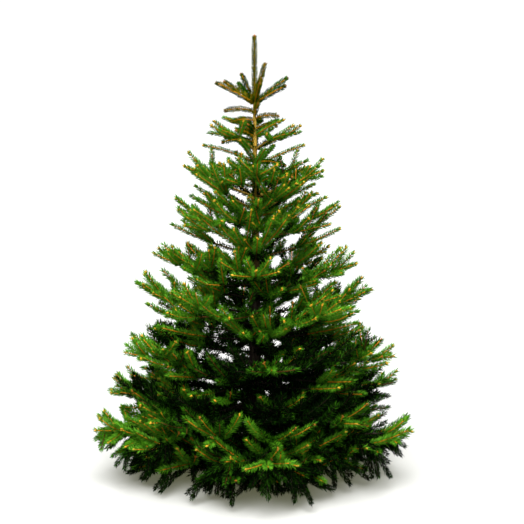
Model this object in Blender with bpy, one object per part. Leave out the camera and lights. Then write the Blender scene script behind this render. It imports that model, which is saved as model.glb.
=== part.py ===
"""A cut spruce for Christmas, standing in a plain wooden cross stand, as separate solids.

Metres, +Z up, front towards -Y. The origin is on the floor under the middle of the trunk, at the flat
underside of the stand.

The trunk runs whole from its cut foot, which is seated in the stand, to the fork under the leader. Tiers of
boughs stand round it. Each bough carries one mass of foliage: a stem that follows the bough's own curve, with
side twigs left and right at every year's joint, shorter towards the tip. Every stem and twig is a spray of
needles, which is a slim three-sided core whose faces are drawn out to points. A mass keeps to its own space, a
wedge of its tier that ends halfway to the tiers above and below.
"""

import math
import random
from collections import namedtuple

import bmesh
import bpy
from mathutils import Matrix, Vector

SEED = 7
CLEAR = 0.0003  # gap between two pieces that touch
UP = Vector((0, 0, 1))

# The trunk: a tenon that sits in the stand, a butt that swells a little, then an even taper to the fork.
FORK_HEIGHT = 1.190
TOP_HEIGHT = 1.400
BUTT_RADIUS = 0.0245
FORK_RADIUS = 0.0045
BUTT_SWELL = 0.0025
BUTT_SWELL_HEIGHT = 0.09
BUTT_RING_SHARES = (0, 0.25, 0.55, 1)  # rings up the swelling, as shares of its height
TRUNK_SWAY = 0.003
UPPER_RINGS = 8
TRUNK_SIDES = 16

# The stand: two boards, half-lapped at right angles, with a blind bore for the trunk's tenon.
BOARD_LENGTH = 0.44
BOARD_WIDTH = 0.07
BOARD_HEIGHT = 0.04
BOARD_CHAMFER = 0.004
TENON_RADIUS = 0.017
TENON_FOOT = 0.008

# The tiers of boughs, from the top down. A bough leaves the trunk at its tier's height and rises at the angle
# `rise`, which changes to `lift` at its tip. `turn` is the first bough's azimuth: 0 is right, 270 is front.
# `years` is how many joints the mass's stem has, `needle` how long its needles are, `tilt` how far its side
# twigs point up from it, and `limb` how far out the bare limb reaches.
Tier = namedtuple("Tier", "height turn reach rise lift years needle tilt limb")
TOP_TIER = Tier(1.196, 10, 0.120, 42, 12, 1, 0.013, 0, 0)
TIERS = (
    Tier(1.040, 18, 0.158, 30, 10, 2, 0.019, 4, 0),
    Tier(0.890, -18, 0.236, 22, 26, 3, 0.023, 2, 0),
    Tier(0.742, 14, 0.280, 16, 32, 3, 0.026, 0, 0),
    Tier(0.602, -20, 0.325, 8, 24, 4, 0.029, 0, 0),
    Tier(0.478, 20, 0.412, 6, 25, 4, 0.031, 0, 0),
    Tier(0.350, -16, 0.460, -2, 15, 5, 0.033, 0, 0.09),
    Tier(0.227, 18, 0.505, -5, 8, 5, 0.034, -3, 0.10),
    Tier(0.132, -18, 0.530, -2, 10, 5, 0.034, -12, 0.11),
)
BOUGHS_PER_TIER = 5
WEDGE = 360 / BOUGHS_PER_TIER
AZIMUTH_PLAY = 5
REACH_PLAY = (0.95, 1.02)
RISE_PLAY = 3
LIFT_PLAY = 5

# Limbs, stems and twigs.
LIMB_SIDES = 5
LIMB_RINGS = 4
LIMB_SWELL = (1.7, 1.1)  # the limb's radius at the trunk and at its end, as shares of its mass's stem
STEM_RADIUS = 0.0042
TWIG_RADIUS = 0.0026
TIP_RADIUS = 0.0015
RING_SPACING = 0.064
SIDE_ANGLE = 48
SIDE_ANGLE_PLAY = 6
TILT_PLAY = 14
SIDE_SHARE = 0.62  # a side twig's length, as a share of what is left of the bough beyond it
SIDE_SPARE = 0.035
SIDE_PLAY = (0.9, 1.1)
SIDE_LIFT = 0.1  # how far a side twig turns up by its tip, as a share of its length
SHORTEST_TWIG = 0.05

# Needles, and the walls of a mass's space.
SWEEP = 0.8  # how far a needle leans along its twig, as a share of how far it stands out
WALL = 0.003
WALL_SLOPE = 30  # the ceiling and the floor of a space are taken to slope by up to this
FLOOR_ROOM = 0.045  # the lowest tier stays this far above the floor

# The leader and the whorl of shoots round its foot: azimuth, rise at the root and length of each.
LEADER_RADIUS = 0.0048
LEADER_NEEDLE = 0.011
LEADER_RINGS = 6
SHOOT_SAG = -0.12
TopShoot = namedtuple("TopShoot", "azimuth rise length")
TOP_SHOOTS = (
    TopShoot(-20, 30, 0.115),
    TopShoot(12, 40, 0.135),
    TopShoot(30, 74, 0.135),
    TopShoot(78, 44, 0.120),
    TopShoot(125, 38, 0.115),
    TopShoot(150, 64, 0.105),
    TopShoot(168, 38, 0.120),
    TopShoot(198, 30, 0.140),
    TopShoot(285, 46, 0.085),
)

Bough = namedtuple("Bough", "tier middle azimuth reach rise lift name")


# ---------------------------------------------------------------- materials


def material(name, colour, roughness):
    made = bpy.data.materials.new(name)
    made.use_nodes = True
    shader = made.node_tree.nodes["Principled BSDF"]
    shader.inputs["Base Color"].default_value = (*colour, 1)
    shader.inputs["Roughness"].default_value = roughness
    return made


# ---------------------------------------------------------------- shapes


def axes_across(direction):
    """Two unit vectors, side and up, that make a right-handed set with `direction`."""
    reference = UP if abs(direction.z) < 0.9 else Vector((0, -1, 0))
    side = reference.cross(direction).normalized()
    return side, direction.cross(side).normalized()


def direction_at(path, index):
    """Unit tangent of a path at one of its points."""
    before, after = path[max(index - 1, 0)], path[min(index + 1, len(path) - 1)]
    return (after - before).normalized()


def add_ring(bm, centre, direction, radius, sides, turn=0.0):
    side, up = axes_across(direction)
    angles = [turn + 2 * math.pi * i / sides for i in range(sides)]
    return [bm.verts.new(centre + radius * (math.cos(a) * side + math.sin(a) * up)) for a in angles]


def skin(bm, rings):
    """Faces round a row of rings, with a flat cap at each end."""
    for below, above in zip(rings, rings[1:]):
        for i in range(len(below)):
            j = (i + 1) % len(below)
            bm.faces.new((below[i], below[j], above[j], above[i]))
    bm.faces.new(reversed(rings[0]))
    bm.faces.new(rings[-1])


def object_from(bm, name, finish):
    mesh = bpy.data.meshes.new(name)
    bm.normal_update()
    bm.to_mesh(mesh)
    bm.free()
    mesh.materials.append(finish)
    return bpy.data.objects.new(name, mesh)


def tube(name, path, radii, sides, finish, start=None):
    """A solid tube through the points of `path`; `start` turns the first ring to face that way."""
    bm = bmesh.new()
    rings = []
    for index, (point, radius) in enumerate(zip(path, radii)):
        direction = start if start and index == 0 else direction_at(path, index)
        rings.append(add_ring(bm, point, direction, radius, sides))
    skin(bm, rings)
    return object_from(bm, name, finish)


def spray(name, path, radii, needle_room, finish, start=None):
    """A twig with its needles: a three-sided core whose faces are drawn out, forwards, to points.

    `needle_room` gives the length that a needle may have at a point of the core. The core's rings turn by a
    sixth from one to the next, so that the needles stand out in six directions.
    """
    bm = bmesh.new()
    rings = []
    for index, point in enumerate(path[:-1]):
        direction = start if start and index == 0 else direction_at(path, index)
        rings.append(add_ring(bm, point, direction, radii[index], 3, index * math.pi / 3))
    tip = bm.verts.new(path[-1])
    flanks = []
    for index, (below, above) in enumerate(zip(rings, rings[1:])):
        for i in range(3):
            j = (i + 1) % 3
            flanks.append((index, bm.faces.new((below[i], below[j], above[j], above[i]))))
    last = rings[-1]
    flanks += [(len(rings) - 1, bm.faces.new((last[i], last[(i + 1) % 3], tip))) for i in range(3)]
    bm.faces.new(reversed(rings[0]))
    bm.normal_update()
    for index, face in flanks:
        along = (path[index + 1] - path[index]).normalized()
        middle = face.calc_center_median()
        length = needle_room(middle)
        if length <= radii[index]:
            continue
        outward = (face.normal - face.normal.dot(along) * along).normalized()
        point = middle + (outward + SWEEP * along) * (length / math.hypot(1, SWEEP))
        bmesh.ops.poke(bm, faces=[face])["verts"][0].co = point
    return object_from(bm, name, finish)


def largest_shell(mesh):
    """Keeps only the biggest surface, so that a cavity that fusing sealed is filled and a scrap is dropped."""
    bm = bmesh.new()
    bm.from_mesh(mesh)
    shells, seen = [], set()
    for first in bm.verts:
        if first in seen:
            continue
        shell, front = {first}, [first]
        while front:
            for edge in front.pop().link_edges:
                for vert in edge.verts:
                    if vert not in shell:
                        shell.add(vert)
                        front.append(vert)
        seen |= shell
        shells.append(shell)
    shells.sort(key=len)
    bmesh.ops.delete(bm, geom=[v for shell in shells[:-1] for v in shell], context="VERTS")
    bmesh.ops.triangulate(bm, faces=bm.faces)
    bm.to_mesh(mesh)
    bm.free()


def fused(name, stem, twigs):
    """One solid from a stem and the twigs sunk in it, joined by one Boolean union on their collection."""
    scene = bpy.context.scene.collection
    group = bpy.data.collections.new(name + "_twigs")
    scene.children.link(group)
    scene.objects.link(stem)
    for twig in twigs:
        group.objects.link(twig)
    union = stem.modifiers.new("fuse", "BOOLEAN")
    union.operation = "UNION"
    union.operand_type = "COLLECTION"
    union.collection = group
    union.solver = "EXACT"
    bpy.context.view_layer.update()
    graph = bpy.context.evaluated_depsgraph_get()
    mesh = bpy.data.meshes.new_from_object(stem.evaluated_get(graph))
    stem.modifiers.clear()
    for twig in twigs:
        bpy.data.objects.remove(twig)
    bpy.data.collections.remove(group)
    largest_shell(mesh)
    stem.data = mesh
    stem.name = name
    return stem


# ---------------------------------------------------------------- trunk


def trunk_radius(z):
    above_butt = (z - BOARD_HEIGHT) / (FORK_HEIGHT - BOARD_HEIGHT)
    swell = BUTT_SWELL * max(0.0, 1 - (z - BOARD_HEIGHT) / BUTT_SWELL_HEIGHT) ** 2
    return BUTT_RADIUS + (FORK_RADIUS - BUTT_RADIUS) * above_butt + swell


def trunk_centre(z):
    """The trunk's axis, which sways a little on the way up and is back in line at the fork."""
    turn = math.pi * z / FORK_HEIGHT
    return Vector((TRUNK_SWAY * math.sin(turn), TRUNK_SWAY * math.sin(2 * turn), z))


def make_trunk(finish):
    shoulder = BOARD_HEIGHT + CLEAR
    low = [shoulder + BUTT_SWELL_HEIGHT * share for share in BUTT_RING_SHARES]
    step = (FORK_HEIGHT - low[-1]) / UPPER_RINGS
    heights = low + [low[-1] + step * (i + 1) for i in range(UPPER_RINGS)]
    foot = [Vector((0, 0, TENON_FOOT)), Vector((0, 0, shoulder))]
    path = foot + [trunk_centre(z) if z > shoulder else Vector((0, 0, z)) for z in heights]
    radii = [TENON_RADIUS] * 2 + [trunk_radius(z) for z in heights]
    bm = bmesh.new()
    skin(bm, [add_ring(bm, point, UP, radius, TRUNK_SIDES) for point, radius in zip(path, radii)])
    return object_from(bm, "trunk", finish)


# ---------------------------------------------------------------- stand


def box(name, size, centre, finish=None):
    bm = bmesh.new()
    bmesh.ops.create_cube(bm, size=1, matrix=Matrix.Translation(centre) @ Matrix.Diagonal((*size, 1)))
    made = object_from(bm, name, finish)
    bpy.context.scene.collection.objects.link(made)
    return made


def cut(target, cutter):
    cutter.hide_render = True
    cutter.display_type = "WIRE"
    if cutter.name not in bpy.context.scene.collection.objects:
        bpy.context.scene.collection.objects.link(cutter)
    difference = target.modifiers.new("cut_" + cutter.name, "BOOLEAN")
    difference.operation = "DIFFERENCE"
    difference.solver = "EXACT"
    difference.object = cutter


def make_stand(finish):
    """The two crossed boards. Each is notched to half its height where the other crosses it."""
    middle = Vector((0, 0, BOARD_HEIGHT / 2))
    bore_foot = Vector((0, 0, TENON_FOOT - CLEAR))
    bore_top = Vector((0, 0, BOARD_HEIGHT * 1.5))
    bore_radius = TENON_RADIUS + CLEAR / math.cos(math.pi / TRUNK_SIDES)
    bore = tube("tenon_bore", [bore_foot, bore_top], [bore_radius] * 2, TRUNK_SIDES, finish)
    notch_width = BOARD_WIDTH + 2 * CLEAR
    plans = (
        ("stand_board_lower", (BOARD_LENGTH, BOARD_WIDTH), (notch_width, 2 * BOARD_WIDTH), 1),
        ("stand_board_upper", (BOARD_WIDTH, BOARD_LENGTH), (2 * BOARD_WIDTH, notch_width), -1),
    )
    for name, plan, notch_plan, above in plans:
        board = box(name, (*plan, BOARD_HEIGHT), middle, finish)
        chamfer = board.modifiers.new("chamfer", "BEVEL")
        chamfer.width = BOARD_CHAMFER
        chamfer.segments = 1
        notch_middle = middle + UP * above * (BOARD_HEIGHT / 2 - CLEAR / 2)
        notch = box(name + "_notch", (*notch_plan, BOARD_HEIGHT), notch_middle, finish)
        cut(board, notch)
        cut(board, bore)


# ---------------------------------------------------------------- boughs


def bough_of(tier, tier_index, index):
    """One bough of a tier, a little off the even spacing and size."""
    chance = random.Random(f"{SEED} bough {tier_index} {index}")
    middle = tier.turn + index * WEDGE
    return Bough(
        tier=tier,
        middle=middle,
        azimuth=middle + chance.uniform(-AZIMUTH_PLAY, AZIMUTH_PLAY),
        reach=tier.reach * chance.uniform(*REACH_PLAY),
        rise=tier.rise + chance.uniform(-RISE_PLAY, RISE_PLAY),
        lift=tier.lift + chance.uniform(-LIFT_PLAY, LIFT_PLAY),
        name=f"{tier_index}_{index + 1}",
    )


def height_along(bough, radius):
    """Height of a bough's centre line at a distance from the trunk. A tier serves as its own mean bough."""
    height = bough.height if isinstance(bough, Tier) else bough.tier.height
    root, tip = math.tan(math.radians(bough.rise)), math.tan(math.radians(bough.lift))
    return height + radius * (root + (tip - root) * radius / (2 * bough.reach))


def outward(azimuth):
    angle = math.radians(azimuth)
    return Vector((math.cos(angle), math.sin(angle), 0))


def bough_point(bough, radius):
    base = trunk_centre(bough.tier.height)
    base.z = height_along(bough, radius)
    return base + radius * outward(bough.azimuth)


def room_at(bough, neighbours, point):
    """How far a point inside a mass's space is from the nearest wall of that space."""
    above, below = neighbours
    base = trunk_centre(bough.tier.height)
    away = Vector((point.x - base.x, point.y - base.y))
    radius = away.length
    off = math.degrees(math.atan2(away.y, away.x)) - bough.middle
    off = abs((off + 180) % 360 - 180)
    side = radius * math.sin(math.radians(WEDGE / 2 - off)) if off < WEDGE / 2 else 0.0
    own = height_along(bough.tier, radius)
    ceiling = (own + height_along(above, min(radius, above.reach))) / 2
    floor = (own + height_along(below, radius)) / 2 if below else FLOOR_ROOM
    upright = min(ceiling - point.z, point.z - floor) * math.cos(math.radians(WALL_SLOPE))
    return min(side, radius - trunk_radius(point.z), upright) - WALL


def twig_path(start, direction, length, lift):
    """Points of a side twig, which leaves in `direction` and turns up by `lift` times its length."""
    steps = max(2, round(length / RING_SPACING))
    shares = [i / steps for i in range(steps + 1)]
    return [start + direction * (length * s) + UP * (lift * length * s * s) for s in shares]


def tapered(root, tip, count):
    return [root + (tip - root) * i / (count - 1) for i in range(count)]


def side_twigs(bough, root_radius, room, finish):
    """The side twigs of one mass, left and right of each joint, skipped where they would leave its space."""
    chance = random.Random(f"{SEED} twigs {bough.name}")
    year = (bough.reach - root_radius) / bough.tier.years
    made = []
    for joint in range(1, bough.tier.years):
        radius = root_radius + joint * year
        start = bough_point(bough, radius)
        forward = (bough_point(bough, radius + year / 4) - start).normalized()
        across, _ = axes_across(forward)
        for hand in (-1, 1):
            angle = math.radians(SIDE_ANGLE + chance.uniform(-SIDE_ANGLE_PLAY, SIDE_ANGLE_PLAY))
            tilt = math.radians(bough.tier.tilt + chance.uniform(-TILT_PLAY, TILT_PLAY))
            length = (SIDE_SHARE * (bough.reach - radius) + SIDE_SPARE) * chance.uniform(*SIDE_PLAY)
            direction = forward * math.cos(angle) + across * (hand * math.sin(angle))
            direction = (direction + UP * math.sin(tilt)).normalized()
            path = twig_path(start, direction, length, SIDE_LIFT)
            while room(path[-1]) < TWIG_RADIUS and length > SHORTEST_TWIG:
                length -= SHORTEST_TWIG / 4
                path = twig_path(start, direction, length, SIDE_LIFT)
            if length <= SHORTEST_TWIG:
                continue
            radii = tapered(TWIG_RADIUS, TIP_RADIUS, len(path))
            made.append(spray(f"twig_{bough.name}_{joint}_{hand}", path, radii, room, finish))
    return made


def along_bough(bough, first, last, count):
    """Points on a bough's centre line from `first` to `last`, without the first, which meets another piece."""
    return [bough_point(bough, first + (last - first) * i / count) for i in range(1, count + 1)]


def make_bough(tier_index, index, finishes):
    """One bough: its bare limb, where it has one, and the mass of foliage that carries on from it."""
    tier = TIERS[tier_index - 1]
    bough = bough_of(tier, tier_index, index)
    above = TIERS[tier_index - 2] if tier_index > 1 else TOP_TIER
    below = TIERS[tier_index] if tier_index < len(TIERS) else None
    start = outward(bough.azimuth)
    root_radius = trunk_radius(tier.height - STEM_RADIUS) + CLEAR
    root = bough_point(bough, root_radius)
    if tier.limb:
        path = [root] + along_bough(bough, root_radius, tier.limb, LIMB_RINGS)
        radii = tapered(*(STEM_RADIUS * swell for swell in LIMB_SWELL), len(path))
        limb = tube(f"bough_{bough.name}", path, radii, LIMB_SIDES, finishes["bark"], start)
        bpy.context.scene.collection.objects.link(limb)
        start = direction_at(path, LIMB_RINGS)
        root = path[-1] + CLEAR * start
        root_radius = tier.limb

    def room(point):
        return min(tier.needle, room_at(bough, (above, below), point))

    count = max(tier.years + 1, round((bough.reach - root_radius) / RING_SPACING))
    path = [root] + along_bough(bough, root_radius, bough.reach, count)
    radii = tapered(STEM_RADIUS, TIP_RADIUS, len(path))
    stem = spray(f"stem_{bough.name}", path, radii, room, finishes["needles"], start)
    twigs = side_twigs(bough, root_radius, room, finishes["needles"])
    return fused(f"foliage_{bough.name}", stem, twigs)


# ---------------------------------------------------------------- crown top


def make_crown_top(finish):
    """The leader, which carries on from the trunk's tip, with the whorl of shoots round its foot."""
    foot = Vector((0, 0, FORK_HEIGHT + CLEAR))
    path = [foot + UP * (TOP_HEIGHT - foot.z) * i / LEADER_RINGS for i in range(LEADER_RINGS + 1)]
    radii = tapered(LEADER_RADIUS, TIP_RADIUS, len(path))
    leader = spray("leader", path, radii, lambda _: LEADER_NEEDLE, finish)
    shoots = []
    for number, shoot in enumerate(TOP_SHOOTS):
        rise = math.radians(shoot.rise)
        direction = outward(shoot.azimuth) * math.cos(rise) + UP * math.sin(rise)
        start = Vector((0, 0, TOP_TIER.height))
        points = twig_path(start, direction, shoot.length, SHOOT_SAG)
        radii = tapered(TWIG_RADIUS, TIP_RADIUS, len(points))
        shoots.append(spray(f"top_shoot_{number}", points, radii, lambda _: TOP_TIER.needle, finish))
    return fused("crown_top", leader, shoots)


def main():
    for old in list(bpy.data.objects):
        bpy.data.objects.remove(old)
    finishes = {
        "bark": material("bark", (0.20, 0.12, 0.06), 0.85),
        "needles": material("needles", (0.05, 0.16, 0.03), 0.55),
        "board": material("board_wood", (0.60, 0.42, 0.24), 0.6),
    }
    bpy.context.scene.collection.objects.link(make_trunk(finishes["bark"]))
    make_stand(finishes["board"])
    make_crown_top(finishes["needles"])
    for tier_index in range(1, len(TIERS) + 1):
        for index in range(BOUGHS_PER_TIER):
            make_bough(tier_index, index, finishes)


main()
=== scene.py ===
"""The looks of a cut Christmas spruce in a cross stand: bark, twigs, needles, buds and planed boards.

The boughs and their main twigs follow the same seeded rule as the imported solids. Lesser boughs and finer
twigs carry it on within the same reach, and needles clothe them. Metres, +Z up, the front towards -Y.
"""

import math
import random
from collections import namedtuple

import bpy
import numpy as np
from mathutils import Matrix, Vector, noise


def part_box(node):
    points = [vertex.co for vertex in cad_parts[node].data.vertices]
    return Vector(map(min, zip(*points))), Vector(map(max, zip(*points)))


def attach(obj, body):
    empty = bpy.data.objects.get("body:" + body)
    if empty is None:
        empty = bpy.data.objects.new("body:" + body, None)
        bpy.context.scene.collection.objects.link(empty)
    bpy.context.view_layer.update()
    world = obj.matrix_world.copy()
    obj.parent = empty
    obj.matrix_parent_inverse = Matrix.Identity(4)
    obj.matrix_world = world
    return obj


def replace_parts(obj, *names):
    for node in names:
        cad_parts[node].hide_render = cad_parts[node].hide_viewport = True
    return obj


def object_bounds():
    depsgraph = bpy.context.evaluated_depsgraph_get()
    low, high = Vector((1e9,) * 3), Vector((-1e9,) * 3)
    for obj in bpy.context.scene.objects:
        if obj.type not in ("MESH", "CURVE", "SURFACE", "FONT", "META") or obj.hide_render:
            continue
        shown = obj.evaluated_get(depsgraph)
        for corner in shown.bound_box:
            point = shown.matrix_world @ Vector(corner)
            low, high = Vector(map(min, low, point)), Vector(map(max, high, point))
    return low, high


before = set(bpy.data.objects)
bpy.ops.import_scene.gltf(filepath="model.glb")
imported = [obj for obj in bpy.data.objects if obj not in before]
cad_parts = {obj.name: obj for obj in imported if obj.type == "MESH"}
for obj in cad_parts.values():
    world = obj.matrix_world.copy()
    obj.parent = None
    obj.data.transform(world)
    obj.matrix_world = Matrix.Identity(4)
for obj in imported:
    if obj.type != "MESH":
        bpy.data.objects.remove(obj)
CAD_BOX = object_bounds()

UP = Vector((0, 0, 1))
FRONT = Vector((0, -1, 0))
FRONT_AZIMUTH = 270
BODY = "root"

# ---------------------------------------------------------------- the growth rule of the solids

SEED = 7

FORK_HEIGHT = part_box("trunk")[1].z
TOP_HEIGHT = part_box("crown_top")[1].z
BOARD_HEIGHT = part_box("stand_board_lower")[1].z
BUTT_RADIUS = 0.0245
FORK_RADIUS = 0.0045
BUTT_SWELL = 0.0025
BUTT_SWELL_HEIGHT = 0.09
TRUNK_SWAY = 0.003

# Height, reach and limb in metres; turn, rise, lift and tilt in degrees. The letters name the lesser
# boughs of each mass.
Tier = namedtuple("Tier", "height turn reach rise lift years tilt limb lesser")
TOP_TIER = Tier(1.196, 10, 0.120, 42, 12, 1, 0, 0, "")
TIERS = (
    Tier(1.040, 18, 0.158, 30, 10, 2, 4, 0, "ab"),
    Tier(0.890, -18, 0.236, 22, 26, 3, 2, 0, "ab"),
    Tier(0.742, 14, 0.280, 16, 32, 3, 0, 0, "abci"),
    Tier(0.602, -20, 0.325, 8, 24, 4, 0, 0, "hb"),
    Tier(0.478, 20, 0.412, 6, 25, 4, 0, 0, "hb"),
    Tier(0.350, -16, 0.460, -2, 15, 5, 0, 0.09, "hbc"),
    Tier(0.227, 18, 0.505, -5, 8, 5, -3, 0.10, "abci"),
    Tier(0.132, -18, 0.530, -2, 10, 5, -12, 0.11, "adefg"),
)
SKIRT = Tier(0.078, 0, 0.410, -8, 0, 4, -12, 0.11, "")
BOUGHS_PER_TIER = 5
WEDGE = 360 / BOUGHS_PER_TIER
AZIMUTH_PLAY = 5  # a play is how far a value strays: either way, or between two shares
REACH_PLAY = (0.95, 1.02)
RISE_PLAY = 3
LIFT_PLAY = 5

TWIG_RADIUS = 0.0026
SIDE_ANGLE = 48  # degrees between a side twig and what it grows from
SIDE_ANGLE_PLAY = 6
TILT_PLAY = 14
SIDE_SHARE = 0.62  # a side twig's length as a share of what is left of its bough
SIDE_SPARE = 0.035  # and this much more
SIDE_PLAY = (0.9, 1.1)
SIDE_LIFT = 0.1  # how far a twig curves up, as a share of its length
SHORTEST_TWIG = 0.05
TWIG_TRIM = SHORTEST_TWIG / 4  # what a twig that leaves its space is cut back by at a time
WALL = 0.003  # from the walls of a mass's space to what grows in it
WALL_SLOPE = 30  # degrees, the usual slope of the walls above and below a mass's space
FLOOR_ROOM = 0.045  # the height of the lowest masses' space above the floor

TopShoot = namedtuple("TopShoot", "azimuth rise length")
TOP_SHOOTS = (
    TopShoot(-20, 30, 0.115),
    TopShoot(12, 40, 0.135),
    TopShoot(30, 74, 0.135),
    TopShoot(78, 44, 0.120),
    TopShoot(125, 38, 0.115),
    TopShoot(150, 64, 0.105),
    TopShoot(168, 38, 0.120),
    TopShoot(198, 30, 0.140),
    TopShoot(285, 46, 0.085),
)
SHOOT_SAG = -0.12

# ---------------------------------------------------------------- finer growth

STEPS = 3  # straight steps in one year's length of twig
TIP_RADIUS = 0.0013
YEAR_RADIUS = (0.0011, 0.0006, 0.0004, 0.0003)  # what each year adds to a twig's radius, by order
TWIG_YEARS = (5, 4, 2, 1)  # the most years a twig of each order has
GAP_CHANCE = (0, 0.02, 0.22, 0.80)  # the share of twigs of each order that never grew
OPEN = (0, 0.15, 0.12, 0.80, 0.45, 0.40, 0.30, 0.10)  # how much larger that share is at each tier's reach
FINE_ANGLE_PLAY = 10
FINE_TILTS = ((0, 26), (-10, 26), (-14, 34))  # for the twigs of the first, second and third order
FINE_SHORTEST = 0.048
FINE_TRIM = 0.88  # the share of its length that a twig keeps each time it is cut back
FINE_PLAY = (1.10, 1.55)
FINE_LIFT = 0.28
FINE_BEND = 0.08
FINE_ROOM = -0.022  # finer twigs may pass the walls of their space by this much
RISE_AT_TIP = 0.045  # how far above its tier's line a twig may end, at the tier's reach
HANG_AT_TIP = 0.040  # and how far below it
SPREAD_INWARDS = 0.45  # how much more of both for each metre inwards from there
RISER_TILT = (25, 66)  # some joints also have a short twig that rises from the top
RISER_CHANCE = 0.3
RISER_LENGTH = (0.055, 0.09)
RISER_LEAN = 0.5
LAST_RISER_ORDER = 2
STAR_ANGLE = 24  # the last joint of a bough has one more shoot on each side, nearer to its tip
STAR_ANGLE_PLAY = 7
STAR_TILT = (-4, 34)
STAR_SHARE = (0.75, 1.05)  # their length as a share of the last joint's
STAR_CHANCE = 0.7
STAR_YEARS = 3  # a tier's own boughs have them only when they are older than this

# The turn is in degrees from the middle of the wedge towards the tree's front. The place runs from the
# mass's own tier, 0, to the one above, 1, or below, -1. The share is of the reach that they give there.
LesserBough = namedtuple("LesserBough", "turn place share")
LESSER_BOUGHS = {
    "a": LesserBough(25, -0.34, 0.94),
    "b": LesserBough(-25, 0.34, 0.78),
    "c": LesserBough(3, 0.60, 0.84),
    "d": LesserBough(-10, -0.80, 1.0),
    "e": LesserBough(33, -0.90, 1.0),
    "f": LesserBough(12, -0.95, 1.0),
    "g": LesserBough(1, -0.88, 0.92),
    "h": LesserBough(24, -0.30, 0.78),
    "i": LesserBough(24, 0.42, 0.86),
}
LESSER_TURN_PLAY = 6
LESSER_PLACE_PLAY = (0.75, 1.1)
LESSER_REACH_PLAY = (0.86, 1.0)
LESSER_RISE_PLAY = 4
LESSER_LIFT_PLAY = 6
LESSER_YEAR = 0.125  # the length that a lesser bough grows in a year
IN_TRUNK = 0.6  # where a bough starts inside the trunk, as a share of the trunk's radius

InnerShoot = namedtuple("InnerShoot", "azimuth height rise length")
INNER_SHOOTS = (
    InnerShoot(182, 1.162, 20, 0.095),
    InnerShoot(205, 1.133, 16, 0.078),
    InnerShoot(-6, 1.140, 24, 0.078),
    InnerShoot(12, 1.107, 26, 0.076),
    InnerShoot(290, 1.150, 62, 0.060),
    InnerShoot(245, 1.100, 40, 0.060),
    InnerShoot(70, 1.120, 30, 0.070),
    InnerShoot(120, 1.085, 30, 0.075),
    InnerShoot(190, 0.985, 10, 0.065),
    InnerShoot(330, 1.000, 14, 0.110),
    InnerShoot(262, 0.930, 68, 0.085),
    InnerShoot(100, 0.980, 20, 0.070),
    InnerShoot(40, 0.960, 20, 0.080),
    InnerShoot(190, 1.066, 18, 0.105),
    InnerShoot(166, 1.058, 30, 0.110),
    InnerShoot(214, 1.082, 34, 0.080),
)
INNER_SAG = -0.30
TOP_ARCH = -0.01
TOP_DROP = 0.008  # how far below its tier's height the top whorl leaves the stem
TOP_YEARS = 2  # the top's shoots are of one year and have the steps of two
LEADER_BUD = 0.005
LEADER_RADII = (0.0046, 0.0030)  # at a shoot's root and at its tip
WHORL_RADII = (0.0028, 0.0020)
INNER_RADII = (0.0024, 0.0018)

FRINGE_TILT = (-76, -28)  # the shoots that hang from the lowest tier
FRINGE_LENGTH = (0.06, 0.11)
FRINGE_LEAN = (0.0, 0.9)
FRINGE_LIFT = 0.1
FRINGE_GAP = 0.18

# ---------------------------------------------------------------- needles

# Length and width in metres, needles to a metre of shoot, lean from the twig in degrees, and how many
# needles stand nearly level with each other.
Needle = namedtuple("Needle", "length width per_metre lean ring")
FINE_NEEDLE = Needle(0.0210, 0.0030, 1450, 55, 10)
OLD_NEEDLE = Needle(0.0205, 0.0034, 1050, 58, 8)
INNER_NEEDLE = Needle(0.0210, 0.0046, 580, 62, 4)
HANGING_NEEDLE = Needle(0.0150, 0.0034, 1500, 46, 8)
TOP_NEEDLE = Needle(0.0135, 0.0034, 2400, 58, 15)
LEADER_NEEDLE = Needle(0.0125, 0.0034, 2400, 56, 17)
SMALLEST_NEEDLE = 0.66  # the length of the top tier's needles as a share of the lowest tier's
FULL_REACH = (0.15, 0.39)  # the reach of the tiers between which needles grow to their full length
FEWEST_NEEDLES = 8
LEAN_PLAY = 6  # degrees
TURN_PLAY = 0.12  # radians
LENGTH_PLAY = (0.80, 1.10)
TOP_LENGTH_PLAY = (0.68, 1.10)
RING_PLAY = (0.32, 0.68)  # where in its ring's share of the shoot a needle stands
UPPER_PARTING = 25  # degrees from the top of a twig, and from its underside, that stay bare
LOWER_PARTING = 34
STEEP = 0.55  # the sine of the rise past which a shoot isn't parted
TIP_SHARE = 0.92  # past this share of the shoot the needles close round its bud
TIP_LEAN = (0.3, 0.9)  # and lean by these shares of their angle
GOLDEN_TURN = math.pi * (3 - math.sqrt(5))
NEEDLE_ROOT = 0.7  # where a needle starts, as a share of its twig's radius
NEEDLE_LIFT = 0.08
NEEDLE_CURVE = 0.05
FOLD = 0.55  # depth of a needle's keel as a share of its width
WIDEST = 0.38  # where along its length a needle is widest
FLOOR_CLEAR = 0.003
NEEDLE_FACES = np.array([(0, 1, 3), (0, 3, 2)])

# ---------------------------------------------------------------- colours

# One green in lit and shaded copies, from near black to light. This is painted shade and light, dealt out
# by depth in the crown, by side and under the lowest tier, with real tone from age and chance. Olive is
# the crown top's own colour.
TONES = {
    "needle_inner": (0.002, 0.007, 0.001),
    "needle_dark": (0.007, 0.028, 0.0015),
    "needle_deep": (0.020, 0.084, 0.003),
    "needle_mid": (0.038, 0.158, 0.005),
    "needle_bright": (0.068, 0.258, 0.007),
    "needle_fresh": (0.125, 0.375, 0.018),
    "needle_olive": (0.270, 0.235, 0.005),
}
INNER, DARK, DEEP, MID, BRIGHT, FRESH_AND_LIT, OLIVE = range(len(TONES))
TONE_DEPTHS = (0.055, 0.090, 0.122, 0.152, 0.190)  # how deep each tone ends, from fresh and lit to dark: painted shade that deepens into the crown
DEPTH_PLAY = 0.035
DEPTH_PER_YEAR = 0.026
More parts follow.
